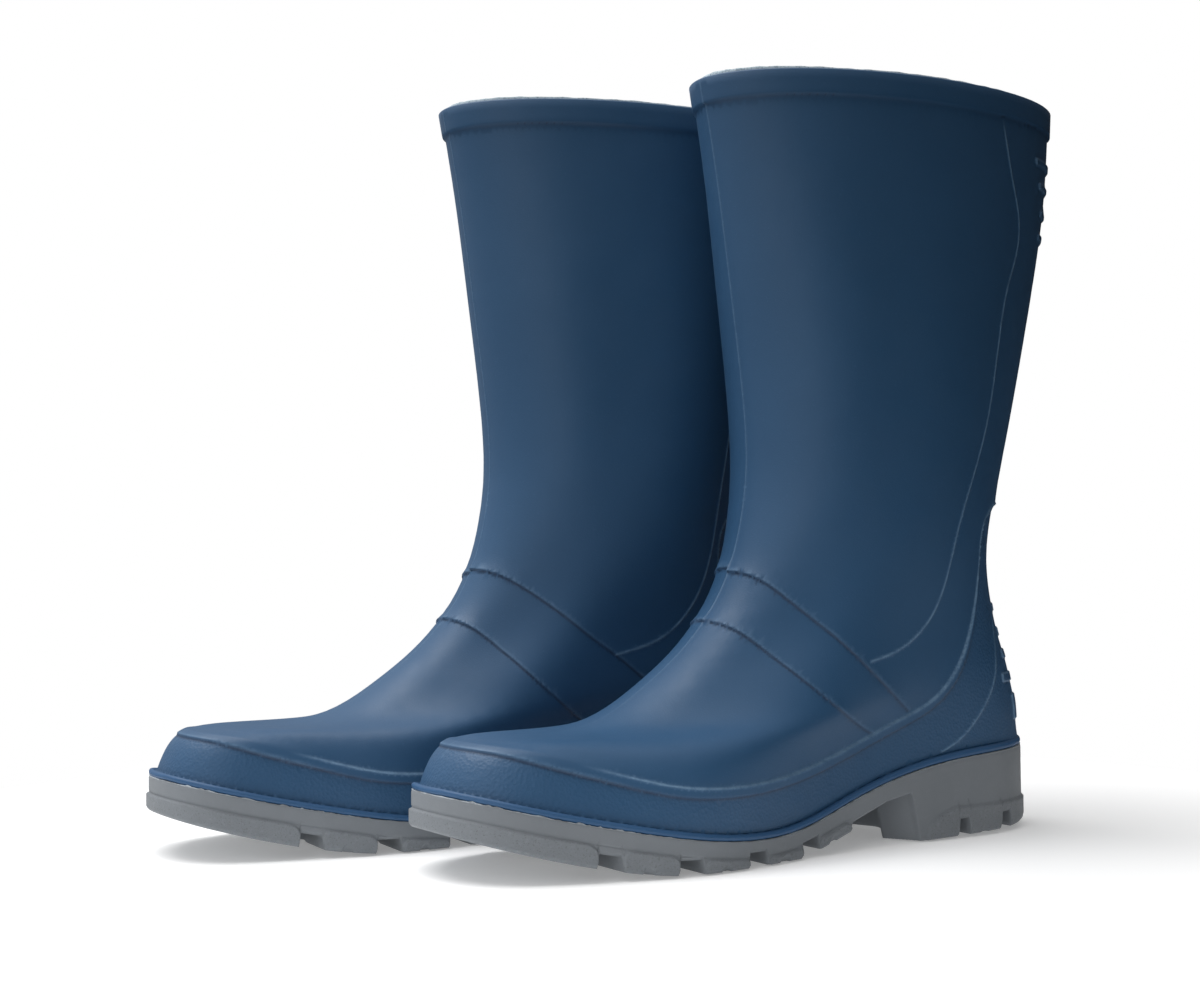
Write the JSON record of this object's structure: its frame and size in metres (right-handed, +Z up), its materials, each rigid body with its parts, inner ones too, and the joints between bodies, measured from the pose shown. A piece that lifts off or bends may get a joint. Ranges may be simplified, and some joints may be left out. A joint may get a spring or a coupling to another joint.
{
  "type": "deck boots",
  "caption": "Pair of mid-calf moulded deck boots with flared shafts, collar band, lugged heeled outsoles, knitted lining and loose foam insoles.",
  "frame": {"origin": "centre of the pair's outline on the ground, under the lugs", "axes": "+Z up; the toes point towards -Y; the left boot stands on the +X side and the right boot on the -X side, about 70 mm further forward"},
  "size_m": [0.2128, 0.3872, 0.3182],
  "materials": {
    "upper_pvc": "satin moulded navy PVC, pebbled on the foxing",
    "outsole_pvc": "matte moulded grey PVC",
    "lining_knit": "fine knitted grey-blue polyester",
    "board_fibre": "pressed non-woven fibre",
    "insole_foam": "open-cell dark grey foam",
    "insole_textile": "brushed woven polyester"
  },
  "bodies": {
    "left_boot": {"left_upper_shell": "upper_pvc", "left_outsole": "outsole_pvc", "left_sock_lining": "lining_knit", "left_lasting_board": "board_fibre"},
    "left_insole": {"left_insole_foam": "insole_foam", "left_insole_cover": "insole_textile"},
    "right_boot": {"right_upper_shell": "upper_pvc", "right_outsole": "outsole_pvc", "right_sock_lining": "lining_knit", "right_lasting_board": "board_fibre"},
    "right_insole": {"right_insole_foam": "insole_foam", "right_insole_cover": "insole_textile"}
  },
  "joints": [
    {"name": "left_insole_lift", "type": "hinge", "parent": "left_boot", "child": "left_insole", "pos_m": [0.0508, -0.1091, 0.033], "axis": [1, 0, 0], "range_deg": [0, 4]},
    {"name": "right_insole_lift", "type": "hinge", "parent": "right_boot", "child": "right_insole", "pos_m": [-0.056, -0.1788, 0.033], "axis": [0.9978, -0.0663, 0], "range_deg": [0, 4]},
    {"name": "right_boot_lift", "type": "slide", "parent": "left_boot", "child": "right_boot", "axis": [0, 0, 1], "range_m": [0, 0.15]}
  ]
}
